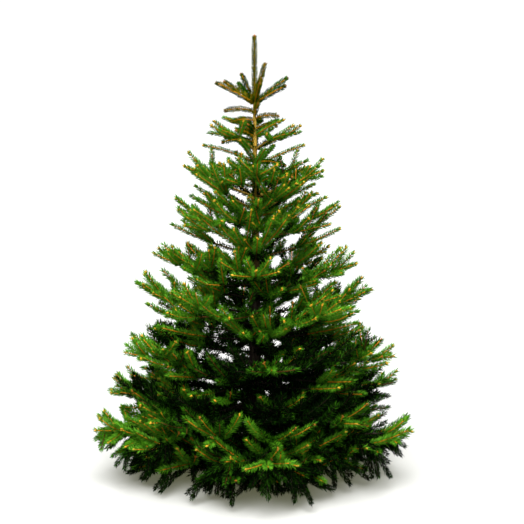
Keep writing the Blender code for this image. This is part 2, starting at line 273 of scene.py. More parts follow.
# painted shade: a shoot that hangs under the lowest tier counts this much deeper
HANGING_DEPTH = 0.13
TIER_SHADE = (1.3, 1.15, 1.0, 1.0, 0.75, 1.3, 2.15, 1.2)  # how fast each tier's painted shade darkens inwards
UPPER_SHADE = 0.6  # the share of that by which the lesser boughs above their tier's own darken
SHADED_MASSES = {"6_5": 1.7, "4_5": 1.4}  # and how much faster the masses in the shade of others do
REACH_MIX = 0.15  # 0: a lesser bough's depth is measured from its own reach, 1: from its tier's
SUNNY_SIDE = 0.08  # painted light: how much less deep, in metres, a shoot at the tip of the tree's left side counts
INNER_DEPTH = 0.27  # deeper than this, or when older than the next value, a shoot has coarse needles
INNER_AGE = 2
FINE_DEPTH = 0.20  # this year's shoots have fine needles down to this depth
# The steps from a shoot's own tone to those of its needles, and the share of needles for each step.
TONE_STEPS = (-2, -1, 0, 1, 2)
TONE_CHANCE = (0.12, 0.24, 0.36, 0.20, 0.08)
OLIVE_MIX = (OLIVE, MID, DEEP, DARK)
OLIVE_CHANCE = (0.50, 0.20, 0.20, 0.10)
NEEDLE_ROUGHNESS = 0.55
NEEDLE_GLOSS = (0.01, 0.02, 0.04, 0.06, 0.08, 0.08, 0.03)  # the specular level of each tone

# Twig colours follow the needle tone of their shoot. This year's twig is orange only where its shoot is
# lit, and in painted shade it is brown or near black. Old twigs are near black too.
TWIG_COLOURS = {
    "twig_new": (0.76, 0.25, 0.012),
    "twig_gold": (0.82, 0.36, 0.006),
    "twig_brown": (0.13, 0.045, 0.010),
    "twig_dark": (0.016, 0.011, 0.006),
    "twig_leader": (0.330, 0.240, 0.006),
}
TWIG_NEW_AND_LIT, TWIG_GOLD, TWIG_BROWN, TWIG_DARK, TWIG_LEADER = range(len(TWIG_COLOURS))
BUD_COLOURS = {"bud_gold": (0.88, 0.45, 0.03), "bud_brown": (0.42, 0.15, 0.015)}
BUD_GOLD, BUD_BROWN = range(len(BUD_COLOURS))
BUD_LENGTH = 0.0105
BUD_RADIUS = 0.0037
BUD_WIDEST = 0.35  # as a share of its length, and so is how far it starts inside the twig
BUD_ROOT = 0.1
BUD_CHANCE = 0.7
SIDE_BUD = 0.8  # the size of the buds beside the middle one
BUD_SPREAD = 0.9

# ---------------------------------------------------------------- trunk, boughs and stand, in shape

TRUNK_CLEAR = 0.001  # from the boards to the bark
TRUNK_SIDES = 48
TRUNK_STEP = 0.005
BOUGH_SIDES = 8
BOUGH_STEP = 0.010
TWIG_SIDES = 4
RIDGES = Vector((130, 130, 26))  # ridges of the bark to a metre, across and along the trunk
SCALES = Vector((420, 420, 300))  # and its scales
RIDGE_DEPTH = 0.13  # as a share of the radius, and so are the scales' depth and the collars'
SCALE_DEPTH = 0.05
COLLAR_DEPTH = 0.16
COLLAR_HEIGHT = 0.014

Board = namedtuple("Board", "node length_axis pith")
BOARDS = (
    Board("stand_board_lower", "X", (0, 0.02, 0.05)),
    Board("stand_board_upper", "Y", (0.03, 0, 0.04)),
)

# ---------------------------------------------------------------- what grows, and helpers

Bough = namedtuple("Bough", "tier height middle azimuth reach rise lift name")
Axis = namedtuple("Axis", "points years order")  # a stem has the order 0, its side twigs 1, and so on
Space = namedtuple("Space", "room reach open")  # what bounds the finer twigs of a mass
Shoot = namedtuple("Shoot", "points age order radii hanging")  # one year's length of an axis
Grown = namedtuple("Grown", "shoot reach shade")  # with the reach that its depth is measured from
Spray = namedtuple("Spray", "shoot tone needle")

NEARLY_UPRIGHT = 0.9


def outward(azimuth):
    angle = math.radians(azimuth)
    return Vector((math.cos(angle), math.sin(angle), 0))


def axes_across(direction):
    """The level side and the upper side of a direction."""
    reference = UP if abs(direction.z) < NEARLY_UPRIGHT else FRONT
    side = reference.cross(direction).normalized()
    return side, direction.cross(side).normalized()


def axes_at(start, ahead):
    """The forward, level and upper directions where a line goes on from a point."""
    forward = (ahead - start).normalized()
    return (forward, *axes_across(forward))


def splayed(axes, hand, angle, tilt):
    """The direction of a twig that leaves an axis to one side and is tilted up, both in degrees."""
    forward, across, over = axes
    angle, tilt = math.radians(angle), math.radians(tilt)
    return forward * math.cos(angle) + across * (hand * math.sin(angle)) + over * math.sin(tilt)


def raised(axes, tilt, lean):
    """The direction of a twig that rises from an axis, or hangs from it, and leans to one side."""
    forward, across, over = axes
    tilt = math.radians(tilt)
    return forward * math.cos(tilt) + over * math.sin(tilt) + across * lean


def mix(a, b, share):
    return a + (b - a) * share


def around(value, play, chance):
    return value + chance.uniform(-play, play)


def shares_in(count):
    """From 0 to 1 in equal steps."""
    return [i / count for i in range(count + 1)]


def placed(name, data):
    """A new object in the scene."""
    made = bpy.data.objects.new(name, data)
    bpy.context.scene.collection.objects.link(made)
    return made


# ---------------------------------------------------------------- the rule, as in the solids


def trunk_radius(z):
    above_butt = (z - BOARD_HEIGHT) / (FORK_HEIGHT - BOARD_HEIGHT)
    swell = BUTT_SWELL * max(0.0, 1 - (z - BOARD_HEIGHT) / BUTT_SWELL_HEIGHT) ** 2
    return BUTT_RADIUS + (FORK_RADIUS - BUTT_RADIUS) * above_butt + swell


def trunk_centre(z):
    turn = math.pi * z / FORK_HEIGHT
    return Vector((TRUNK_SWAY * math.sin(turn), TRUNK_SWAY * math.sin(2 * turn), z))


def bough_of(tier, tier_index, index):
    chance = random.Random(f"{SEED} bough {tier_index} {index}")
    middle = tier.turn + index * WEDGE
    return Bough(
        tier=tier,
        height=tier.height,
        middle=middle,
        azimuth=around(middle, AZIMUTH_PLAY, chance),
        reach=tier.reach * chance.uniform(*REACH_PLAY),
        rise=around(tier.rise, RISE_PLAY, chance),
        lift=around(tier.lift, LIFT_PLAY, chance),
        name=f"{tier_index}_{index + 1}",
    )


def height_along(bough, radius):
    """The height of a bough's line, or a tier's, at a distance from the trunk's middle."""
    root, tip = math.tan(math.radians(bough.rise)), math.tan(math.radians(bough.lift))
    return bough.height + radius * (root + (tip - root) * radius / (2 * bough.reach))


def bough_point(bough, radius):
    base = trunk_centre(bough.height)
    base.z = height_along(bough, radius)
    return base + radius * outward(bough.azimuth)


def neighbours_of(tier_index):
    above = TIERS[tier_index - 2] if tier_index > 1 else TOP_TIER
    below = TIERS[tier_index] if tier_index < len(TIERS) else None
    return above, below


def room_at(bough, neighbours, point):
    """How far a point is inside the walls of its mass's space."""
    above, below = neighbours
    base = trunk_centre(bough.tier.height)
    away = Vector((point.x - base.x, point.y - base.y))
    radius = away.length
    off = math.degrees(math.atan2(away.y, away.x)) - bough.middle
    off = abs((off + 180) % 360 - 180)
    side = radius * math.sin(math.radians(WEDGE / 2 - off))
    own = height_along(bough.tier, radius)
    ceiling = (own + height_along(above, min(radius, above.reach))) / 2
    floor = (own + height_along(below, radius)) / 2 if below else FLOOR_ROOM
    upright = min(ceiling - point.z, point.z - floor) * math.cos(math.radians(WALL_SLOPE))
    return min(side, radius - trunk_radius(point.z), upright) - WALL


def twig_points(start, direction, length, lift, years, bend=None):
    """A twig that curves up, and with a bend also sideways, in equal steps."""
    curve = UP * lift + bend if bend else UP * lift
    return [start + direction * (length * s) + curve * (length * s * s) for s in shares_in(years * STEPS)]


def main_twigs(bough, root_radius, room):
    """The side twigs that the solids have: the same draws, in the same order."""
    chance = random.Random(f"{SEED} twigs {bough.name}")
    year = (bough.reach - root_radius) / bough.tier.years
    for joint in range(1, bough.tier.years):
        radius = root_radius + joint * year
        start = bough_point(bough, radius)
        forward, across, _ = axes_at(start, bough_point(bough, radius + year / 4))
        for hand in (-1, 1):
            angle = around(SIDE_ANGLE, SIDE_ANGLE_PLAY, chance)
            tilt = around(bough.tier.tilt, TILT_PLAY, chance)
            length = (SIDE_SHARE * (bough.reach - radius) + SIDE_SPARE) * chance.uniform(*SIDE_PLAY)
            direction = splayed((forward, across, UP), hand, angle, tilt).normalized()
            years = bough.tier.years - joint
            points = twig_points(start, direction, length, SIDE_LIFT, years)
            while room(points[-1]) < TWIG_RADIUS and length > SHORTEST_TWIG:
                length -= TWIG_TRIM
                points = twig_points(start, direction, length, SIDE_LIFT, years)
            if length > SHORTEST_TWIG:
                yield Axis(points, years, 1)


# ---------------------------------------------------------------- finer twigs


def length_from(axis, joint):
    """The length of an axis from one of its joints to its tip."""
    points = axis.points[joint * STEPS :]
    return sum((b - a).length for a, b in zip(points, points[1:]))


def fitted_twig(start, direction, length, years, order, room, bend=None, lift=FINE_LIFT):
    """A finer twig, cut back until it stays in its space, or nothing where none fits."""
    while length > FINE_SHORTEST:
        points = twig_points(start, direction.normalized(), length, lift, years, bend)
        if room(points[-1]) >= FINE_ROOM:
            yield Axis(points, years, order)
            return
        length *= FINE_TRIM
        if years > 1 and length / years < FINE_SHORTEST:
            years -= 1


def finer_twigs(axis, space, chance):
    """The side twigs of an axis: left and right at each joint, and one that rises at some of them."""
    order = axis.order + 1
    for joint in range(1, axis.years):
        start = axis.points[joint * STEPS]
        axes = axes_at(start, axis.points[joint * STEPS + 1])
        forward, across, _ = axes
        years = min(axis.years - joint, TWIG_YEARS[order])
        left = length_from(axis, joint) * years / (axis.years - joint)
        gap = GAP_CHANCE[order] + space.open * (math.hypot(start.x, start.y) / space.reach) ** 2
        for hand in (-1, 1):
            angle = around(SIDE_ANGLE, FINE_ANGLE_PLAY, chance)
            direction = splayed(axes, hand, angle, chance.uniform(*FINE_TILTS[order - 1]))
            length = (SIDE_SHARE * left + SIDE_SPARE) * chance.uniform(*FINE_PLAY)
            bend = forward * FINE_BEND + across * around(0, FINE_BEND, chance)
            if chance.random() > gap:
                yield from fitted_twig(start, direction, length, years, order, space.room, bend)
        if order <= LAST_RISER_ORDER and chance.random() < RISER_CHANCE:
            direction = raised(axes, chance.uniform(*RISER_TILT), around(0, RISER_LEAN, chance))
            yield from fitted_twig(start, direction, chance.uniform(*RISER_LENGTH), 1, order, space.room)


def star_of(axis, space, chance):
    """The shoots that make a star of a bough's last joint."""
    joint = (axis.years - 1) * STEPS
    start, tip = axis.points[joint], axis.points[-1]
    axes = axes_at(start, tip)
    for hand in (-1, 1):
        angle = around(STAR_ANGLE, STAR_ANGLE_PLAY, chance)
        direction = splayed(axes, hand, angle, chance.uniform(*STAR_TILT))
        length = (tip - start).length * chance.uniform(*STAR_SHARE)
        if chance.random() < STAR_CHANCE:
            for twig in fitted_twig(start, direction, length, 1, axis.order + 2, space.room):
                yield from shoots_of(twig)


def shoots_of(axis, hanging=False):
    """An axis as one shoot for each year, from its root out. This year's shoot has the age 0."""
    count = axis.years * STEPS
    grown = YEAR_RADIUS[axis.order]
    radii = [TIP_RADIUS + grown * (count - i) / STEPS for i in range(count + 1)]
    for year in range(axis.years):
        first, last = year * STEPS, (year + 1) * STEPS + 1
        yield Shoot(axis.points[first:last], axis.years - 1 - year, axis.order, radii[first:last], hanging)


def grow(axis, space, chance):
    """Every shoot of an axis and of all that grows from it."""
    shoots = list(shoots_of(axis))
    if axis.order == 0 and axis.years > 1:
        shoots += star_of(axis, space, chance)
    if axis.order + 1 < len(TWIG_YEARS):
        for twig in finer_twigs(axis, space, chance):
            shoots += grow(twig, space, chance)
    return shoots


def fringe_of(axis, room, chance):
    """Shoots that hang from the underside of an axis, to its left and its right."""
    for place in range(STEPS, len(axis.points) - 1):
        start = axis.points[place]
        axes = axes_at(start, axis.points[place + 1])
        for hand in (-1, 1):
            if chance.random() < FRINGE_GAP:
                continue
            direction = raised(axes, chance.uniform(*FRINGE_TILT), hand * chance.uniform(*FRINGE_LEAN))
            length = chance.uniform(*FRINGE_LENGTH)
            for twig in fitted_twig(start, direction, length, 1, axis.order + 1, room, lift=FRINGE_LIFT):
                yield from shoots_of(twig, hanging=True)


# ---------------------------------------------------------------- boughs


def stem_axis(bough, root_radius, years):
    """A bough's own line, from a distance from the trunk's middle to its reach."""
    count = years * STEPS
    step = (bough.reach - root_radius) / count
    points = [bough_point(bough, root_radius + step * i) for i in range(count + 1)]
    return Axis(points, years, 0)


def lesser_bough(bough, tier_index, letter):
    """A bough between two tiers, shaped by both, in the same wedge as a tier's own bough."""
    spec = LESSER_BOUGHS[letter]
    chance = random.Random(f"{SEED} lesser {bough.name} {letter}")
    above, below = neighbours_of(tier_index)
    towards = above if spec.place > 0 else below or SKIRT
    place = abs(spec.place) * chance.uniform(*LESSER_PLACE_PLAY)
    tier = bough.tier
    to_front = (FRONT_AZIMUTH - bough.middle + 180) % 360 - 180
    turn = math.copysign(1, to_front) * around(spec.turn, LESSER_TURN_PLAY, chance)
    reach = mix(tier.reach, towards.reach, place) * spec.share
    return bough._replace(
        height=mix(tier.height, towards.height, place),
        azimuth=bough.middle + turn,
        reach=reach * chance.uniform(*LESSER_REACH_PLAY),
        rise=around(mix(tier.rise, towards.rise, place), LESSER_RISE_PLAY, chance),
        lift=around(mix(tier.lift, towards.lift, place), LESSER_LIFT_PLAY, chance),
        name=f"{bough.name}_{letter}",
    )


def room_in_box(point):
    """How far a point is inside the sides of the box that the solids fill."""
    low, high = CAD_BOX
    return min(point.x - low[0], high[0] - point.x, point.y - low[1], high[1] - point.y)


def rooms_of(bough, tier_index):
    """Two measures of how far a point is inside a mass's space: for main twigs, and for finer ones."""
    tier = bough.tier
    neighbours = neighbours_of(tier_index)

    def room(point):
        return room_at(bough, neighbours, point)

    def room_within_reach(point):
        radius = math.hypot(point.x, point.y)
        inwards = tier.reach - radius
        spread = SPREAD_INWARDS * inwards
        above_line = point.z - height_along(tier, radius)
        limits = [room_in_box(point), inwards, RISE_AT_TIP + spread - above_line]
        if neighbours[1]:
            limits.append(HANG_AT_TIP + spread + above_line)
        return min(room(point), min(limits) + FINE_ROOM)

    return room, room_within_reach


def mass_growth(tier_index, index):
    """The stems in one mass's space, each with its bough, and all that has grown from them."""
    tier = TIERS[tier_index - 1]
    bough = bough_of(tier, tier_index, index)
    room, room_within_reach = rooms_of(bough, tier_index)
    space = Space(room_within_reach, tier.reach, OPEN[tier_index - 1])
    chance = random.Random(f"{SEED} finer {bough.name}")
    skin = trunk_radius(tier.height)
    root_radius = tier.limb or skin
    stem = stem_axis(bough, root_radius, tier.years)
    twigs = list(main_twigs(bough, root_radius, room))
    shoots = list(shoots_of(stem))
    if tier.years > STAR_YEARS:
        shoots += star_of(stem, space, chance)
    for twig in twigs:
        shoots += grow(twig, space, chance)
    grown = [Grown(shoot, tier.reach, 1) for shoot in shoots]
    stems = [(bough, stem)]
    for letter in tier.lesser:
        lesser = lesser_bough(bough, tier_index, letter)
        years = max(1, round((lesser.reach - skin) / LESSER_YEAR))
        axis = stem_axis(lesser, skin * IN_TRUNK, years)
        reach = mix(lesser.reach, tier.reach, REACH_MIX)
        shade = UPPER_SHADE if lesser.height > tier.height else 1
        grown += [Grown(shoot, reach, shade) for shoot in grow(axis, space, chance)]
        stems.append((lesser, axis))
        twigs.append(axis)
    if tier_index == len(TIERS):
        for axis in [stem] + twigs:
            fringe = fringe_of(axis, room_within_reach, chance)
            grown += [Grown(shoot, tier.reach, 1) for shoot in fringe]
    return stems, grown


def single_shoot(start, spec, sag, arch, drop, radii):
    """A shoot of one year that arches over to the tip that the rule gives it."""
    slope = math.radians(spec.rise)
    direction = outward(spec.azimuth) * math.cos(slope) + UP * math.sin(slope)
    straight = twig_points(start, direction, spec.length, sag, TOP_YEARS)
    shares = shares_in(TOP_YEARS * STEPS)
    lifts = [arch * spec.length * 4 * s * (1 - s) - drop * (1 - s) for s in shares]
    points = [point + UP * lift for point, lift in zip(straight, lifts)]
    return Shoot(points, 0, 1, [mix(*radii, s) for s in shares], False)


def crown_top_shoots():
    """The leader, the shoots of the top whorl and the short shoots on the stem below them."""
    shares = shares_in(TOP_YEARS * STEPS)
    points = [Vector((0, 0, mix(FORK_HEIGHT, TOP_HEIGHT - LEADER_BUD, s))) for s in shares]
    yield Shoot(points, 0, 0, [mix(*LEADER_RADII, s) for s in shares], False)
    start = Vector((0, 0, TOP_TIER.height))
    for spec in TOP_SHOOTS:
        yield single_shoot(start, spec, SHOOT_SAG, TOP_ARCH, TOP_DROP, WHORL_RADII)
    for spec in INNER_SHOOTS:
        yield single_shoot(trunk_centre(spec.height), spec, INNER_SAG, 0, 0, INNER_RADII)


# ---------------------------------------------------------------- needles from arrays

ACROSS_UPRIGHT = 0.3  # the level part of a direction that is nearly upright


def unit(vectors):
    return vectors / np.linalg.norm(vectors, axis=1, keepdims=True)


def along_path(path, place):
    """The points at places along a path, and its direction and two axes across there."""
    first = np.clip(place.astype(int), 0, len(path) - 2)
    part = (place - first)[:, None]
    centre = path[first] * (1 - part) + path[first + 1] * part
    ahead = unit(path[first + 1] - path[first])
    side = np.cross(np.array(UP), ahead)
    steep = np.linalg.norm(side, axis=1) < ACROSS_UPRIGHT
    side[steep] = np.cross(np.array(FRONT), ahead[steep])
    side = unit(side)
    return centre, ahead, side, np.cross(ahead, side)


def on_crown_top(spray):
    return spray.needle in (TOP_NEEDLE, LEADER_NEEDLE)


def needle_turns(count, parted, chance):
    """The turn of each needle round its twig, 0 on top: a spiral, which may be parted above and below."""
    spiral = np.arange(count) * GOLDEN_TURN + chance.normal(0, TURN_PLAY, count)
    spiral = spiral % (2 * np.pi) - np.pi
    if not parted:
        return spiral
    first, last = math.radians(UPPER_PARTING), math.radians(180 - LOWER_PARTING)
    return np.sign(spiral) * (first + (last - first) * np.abs(spiral) / np.pi)


def needle_tones(tone, count, chance):
    """The tone of each needle: most as their shoot's, some lighter and some darker."""
    if tone == OLIVE:
        return chance.choice(OLIVE_MIX, count, p=OLIVE_CHANCE)
    return np.clip(tone + chance.choice(TONE_STEPS, count, p=TONE_CHANCE), INNER, FRESH_AND_LIT)


def needles_of(spray, chance):
    """Four points a needle, root, two edges and tip, all round one shoot, and the tone of each needle."""
    shoot, tone, needle = spray
    path = np.array([tuple(p) for p in shoot.points])
    length = np.linalg.norm(np.diff(path, axis=0), axis=1).sum()
    count = max(FEWEST_NEEDLES, round(length * needle.per_metre))
    along = (np.arange(count) // needle.ring + chance.uniform(*RING_PLAY, count)) * needle.ring / count
    along = np.minimum(along, 1.0)
    place = along * (len(path) - 1)
    centre, ahead, side, over = along_path(path, place)
    parted = not (shoot.hanging or on_crown_top(spray)) and abs(ahead[0, 2]) < STEEP
    turn = needle_turns(count, parted, chance)[:, None]
    out = side * np.sin(turn) + over * np.cos(turn)
    lean = np.radians(needle.lean + chance.normal(0, LEAN_PLAY, count))
    lean = np.where(along > TIP_SHARE, lean * chance.uniform(*TIP_LEAN, count), lean)[:, None]
    direction = ahead * np.cos(lean) + out * np.sin(lean)
    direction[:, 2] += NEEDLE_LIFT
    direction = unit(direction)
    play = TOP_LENGTH_PLAY if on_crown_top(spray) else LENGTH_PLAY
    size = (needle.length * chance.uniform(*play, count))[:, None]
    across = unit(np.cross(direction, ahead))
    keel = np.cross(across, direction)
    radius = np.interp(place, np.arange(len(path)), shoot.radii)[:, None]
    root = centre + out * (radius * NEEDLE_ROOT)
    tip = root + direction * size + keel * (size * NEEDLE_CURVE)
    middle = root + direction * size * WIDEST - keel * (needle.width * FOLD)
    half = across * (needle.width / 2)
    points = np.stack([root, middle - half, middle + half, tip], axis=1)
    points[:, :, 2] = np.maximum(points[:, :, 2], FLOOR_CLEAR)
    return points, needle_tones(tone, count, chance)


# ---------------------------------------------------------------- meshes from arrays


def mesh_object(name, vertices, faces, materials, slots, smooth=False):
    """One object from arrays of points and triangles, with a material slot for each triangle."""
    mesh = bpy.data.meshes.new(name)
    mesh.vertices.add(len(vertices))
    mesh.vertices.foreach_set("co", np.asarray(vertices, np.float32).ravel())
    mesh.loops.add(3 * len(faces))
    mesh.loops.foreach_set("vertex_index", np.asarray(faces, np.int32).ravel())
    mesh.polygons.add(len(faces))
    mesh.polygons.foreach_set("loop_start", np.arange(0, 3 * len(faces), 3, dtype=np.int32))
    for material in materials:
        mesh.materials.append(material)
    mesh.polygons.foreach_set("material_index", np.asarray(slots, np.int32))
    mesh.update(calc_edges=True)
    if not smooth:
        mesh.shade_flat()
    return placed(name, mesh)


class MeshParts:
    """Points, triangles and material slots, gathered part by part and made into one piece."""

    def __init__(self):
        self.points, self.faces, self.slots = [], [], []

    def add(self, points, faces, slot=0):
        base = len(self.points)
        self.points += [tuple(p) for p in points]
        self.faces += [tuple(base + corner for corner in face) for face in faces]
        self.slots += [slot] * len(faces)

    def piece(self, name, materials, smooth=False):
        made = mesh_object(name, self.points, self.faces, materials, self.slots, smooth)
        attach(made, BODY)
        return made


def tube(rings, radii, sides, relief=None):
    """A closed tube round a line of points. Its relief lifts each point from the round."""
    points, faces = [], []
    last = len(rings) - 1
    for i, (centre, radius) in enumerate(zip(rings, radii)):
        direction = (rings[min(i + 1, last)] - rings[max(i - 1, 0)]).normalized()
        side, over = axes_across(direction)
        for k in range(sides):
            angle = 2 * math.pi * k / sides
            out = math.cos(angle) * side + math.sin(angle) * over
            point = centre + radius * out
            points.append(point + out * relief(point, radius) if relief else point)
    for i in range(last):
        for k in range(sides):
            a, b = i * sides + k, i * sides + (k + 1) % sides
            faces += [(a, b, b + sides), (a, b + sides, a + sides)]
    end = last * sides
    for k in range(1, sides - 1):
        faces += [(0, k + 1, k), (end, end + k, end + k + 1)]
    return points, faces


# ---------------------------------------------------------------- materials


def principled(name, colour, roughness, specular):
    made = bpy.data.materials.new(name)
    made.use_nodes = True
    shader = made.node_tree.nodes["Principled BSDF"]
    shader.inputs["Base Color"].default_value = (*colour, 1)
    shader.inputs["Roughness"].default_value = roughness
    shader.inputs["Specular IOR Level"].default_value = specular
    return made


def plain_set(colours, roughness, specular):
    return [principled(name, colour, roughness, specular) for name, colour in colours.items()]


class Nodes:
    """A short way to add nodes to a material and join them."""

    def __init__(self, material):
        self.tree = material.node_tree
        self.shader = self.tree.nodes["Principled BSDF"]

    def add(self, kind, values=None, **settings):
        node = self.tree.nodes.new(kind)
        for name, value in settings.items():
            setattr(node, name, value)
        for name, value in (values or {}).items():
            node.inputs[name].default_value = value
        return node

    def join(self, output, target):
        self.tree.links.new(output, target)

    def place(self, stretch, shift=(0, 0, 0)):
        """The object's own coordinates, stretched and shifted."""
        source = self.add("ShaderNodeTexCoord")
        mapping = self.add("ShaderNodeMapping", {"Scale": stretch, "Location": shift})
        self.join(source.outputs["Object"], mapping.inputs["Vector"])
        return mapping.outputs["Vector"]

    def noise(self, place, scale, detail, roughness):
        node = self.add("ShaderNodeTexNoise", {"Scale": scale, "Detail": detail, "Roughness": roughness})
        self.join(place, node.inputs["Vector"])
        return node.outputs["Fac"]

    def ramp(self, factor, stops):
        node = self.add("ShaderNodeValToRGB")
        elements = node.color_ramp.elements
        while len(elements) < len(stops):
            elements.new(0.5)
        for element, (position, colour) in zip(elements, stops):
            element.position = position
            element.color = (*colour, 1)
        self.join(factor, node.inputs["Fac"])
        return node.outputs["Color"]

    def blend(self, factor, first, second, mode="MIX"):
        node = self.add("ShaderNodeMix", data_type="RGBA", blend_type=mode)
        if isinstance(factor, float):
            node.inputs["Factor"].default_value = factor
        else:
            self.join(factor, node.inputs["Factor"])
        self.join(first, node.inputs[6])
        self.join(second, node.inputs[7])
        return node.outputs[2]

    def bump(self, height, distance, strength):
        node = self.add("ShaderNodeBump", {"Distance": distance, "Strength": strength})
        self.join(height, node.inputs["Height"])
        self.join(node.outputs["Normal"], self.shader.inputs["Normal"])


# old bark, darkened as painted shade for the trunk and boughs inside the crown; young bark has the stems'
# own gold
OLD_SHADED_BARK = ((0.30, (0.009, 0.006, 0.004)), (0.52, (0.030, 0.021, 0.014)), (0.72, (0.080, 0.060, 0.044)))
YOUNG_BARK = ((0.36, (0.070, 0.028, 0.004)), (0.45, (0.620, 0.340, 0.035)), (0.66, (0.930, 0.660, 0.120)))
YOUNG_HEIGHTS = (0.62, 0.96)  # between these, old bark turns to young


def bark_material():
    """Grey-brown, fissured bark low on the tree, darkened as painted shade, that turns to the smooth gold
    of young stems above.
    """
    made = principled("bark", (0.1, 0.07, 0.045), roughness=0.85, specular=0.2)
    nodes = Nodes(made)
    fissures = nodes.noise(nodes.place((1, 1, 0.28)), scale=85, detail=6, roughness=0.68)
    flakes = nodes.noise(nodes.place((1, 1, 0.8)), scale=330, detail=3, roughness=0.6)
    height = nodes.add("ShaderNodeSeparateXYZ")
    nodes.join(nodes.place((1, 1, 1)), height.inputs["Vector"])
    limits = {"From Min": YOUNG_HEIGHTS[0], "From Max": YOUNG_HEIGHTS[1]}
    youth = nodes.add("ShaderNodeMapRange", limits)
    nodes.join(height.outputs["Z"], youth.inputs["Value"])
    old, young = nodes.ramp(fissures, OLD_SHADED_BARK), nodes.ramp(flakes, YOUNG_BARK)
    nodes.join(nodes.blend(youth.outputs["Result"], old, young), nodes.shader.inputs["Base Color"])
    nodes.bump(fissures, distance=0.0014, strength=0.8)
    return made


RING_WOOD = ((0.10, (0.72, 0.52, 0.30)), (0.62, (0.62, 0.41, 0.20)), (0.92, (0.40, 0.22, 0.09)))
FIBRES = ((0.35, (0.72, 0.68, 0.62)), (0.65, (1.0, 1.0, 1.0)))


def board_material(name, length_axis, pith):
    """Planed spruce: growth rings round a pith that runs the length of the board, and long fibres."""
    made = principled(name, (0.6, 0.42, 0.22), roughness=0.55, specular=0.3)
    nodes = Nodes(made)
    ring_place = nodes.place((1, 1, 1), pith)
    settings = {"Scale": 9.0, "Distortion": 0.9, "Detail": 2.0, "Detail Scale": 3.0}
    rings = nodes.add("ShaderNodeTexWave", settings, wave_type="RINGS", rings_direction=length_axis)
    nodes.join(ring_place, rings.inputs["Vector"])
    stretch = [0.05 if axis == length_axis else 1.0 for axis in "XYZ"]
    fibres = nodes.noise(nodes.place(stretch), scale=420, detail=3, roughness=0.55)
    wood = nodes.ramp(rings.outputs["Fac"], RING_WOOD)
    colour = nodes.blend(0.65, wood, nodes.ramp(fibres, FIBRES), "MULTIPLY")
    nodes.join(colour, nodes.shader.inputs["Base Color"])
    nodes.bump(fibres, distance=0.0004, strength=0.5)
    return made


# ---------------------------------------------------------------- foliage


def fullness(tier):
    """From 0 for the young tier at the top to 1 for the wide ones."""
    low, high = FULL_REACH
    return min(1.0, max(0.0, (tier.reach - low) / (high - low)))


def dressed(grown, tier, gain, chance):
    """A shoot with its tone and needles: lighter and finer outside, darker and coarser inside. The lighter
    and darker tones are painted light and shade, with real darkening by age and chance.
    """
    shoot = grown.shoot
    middle = shoot.points[len(shoot.points) // 2]
    depth = max(0.0, grown.reach - math.hypot(middle.x, middle.y))
    # painted shade by depth into the crown, with real darkening by age and a random play
    shade = depth * (gain * grown.shade) + DEPTH_PER_YEAR * shoot.age + around(0, DEPTH_PLAY, chance)
    # painted light: shoots towards the tree's left side get lighter tones
    shade -= SUNNY_SIDE * max(0.0, -middle.x / grown.reach)
    # painted shade: shoots hanging under the lowest tier get darker tones
    if shoot.hanging:
        shade += HANGING_DEPTH
    tone = FRESH_AND_LIT - sum(shade > limit for limit in TONE_DEPTHS)
    if depth > INNER_DEPTH or shoot.age > INNER_AGE:
        needle = INNER_NEEDLE
    elif shoot.hanging:
        needle = HANGING_NEEDLE
    elif shoot.age == 0 and depth < FINE_DEPTH:
        needle = FINE_NEEDLE
    else:
        needle = OLD_NEEDLE
    size = mix(SMALLEST_NEEDLE, 1.0, fullness(tier))
    return Spray(shoot, tone, needle._replace(length=needle.length * size))


def dressed_top(shoot, chance):
    """The leader is olive, and the shoots round it are olive or green."""
    if shoot.order == 0:
        return Spray(shoot, OLIVE, LEADER_NEEDLE)
    return Spray(shoot, chance.choice((OLIVE, MID, OLIVE, DEEP)), TOP_NEEDLE)


def needle_piece(name, node, sprays, materials, chance):
    """All needles of one mass as one piece, with a material slot for each tone."""
    points, tones = zip(*(needles_of(spray, chance) for spray in sprays))
    points = np.concatenate(points).reshape(-1, 3)
    faces = NEEDLE_FACES[None] + 4 * np.arange(len(points) // 4)[:, None, None]
    slots = np.repeat(np.concatenate(tones), len(NEEDLE_FACES))
    made = mesh_object(name, points, faces.reshape(-1, 3), materials, slots)
    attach(made, BODY)
    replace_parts(made, node)


def foliage():
    """The needles of every mass and of the crown's top. Returns the stems and the sprays."""
    looks = zip(TONES.items(), NEEDLE_GLOSS)
    materials = [principled(name, colour, NEEDLE_ROUGHNESS, gloss) for (name, colour), gloss in looks]
    tone_chance = random.Random(f"{SEED} tones")
    needle_chance = np.random.default_rng(SEED)
    all_stems, all_sprays = [], []
    for tier_index, tier in enumerate(TIERS, start=1):
        for index in range(BOUGHS_PER_TIER):
            stems, grown = mass_growth(tier_index, index)
            mass = f"{tier_index}_{index + 1}"
            gain = TIER_SHADE[tier_index - 1] * SHADED_MASSES.get(mass, 1)
            sprays = [dressed(each, tier, gain, tone_chance) for each in grown]
            needle_piece(f"needles_{mass}", f"foliage_{mass}", sprays, materials, needle_chance)
            all_stems += stems
            all_sprays += sprays
    sprays = [dressed_top(shoot, tone_chance) for shoot in crown_top_shoots()]
    needle_piece("needles_top", "crown_top", sprays, materials, needle_chance)
    return all_stems, all_sprays + sprays


def twig_tone(spray):
    shoot, tone, _ = spray
    if on_crown_top(spray):
        return TWIG_LEADER if shoot.order == 0 else TWIG_GOLD
    # painted shade: a new twig is orange only on a lit shoot, and brown or near black where its shoot is
    # shaded
    if shoot.age == 0 and tone >= MID and not shoot.hanging:
        return TWIG_NEW_AND_LIT
    if shoot.age < 2 and tone >= DEEP:
        return TWIG_BROWN
    return TWIG_DARK


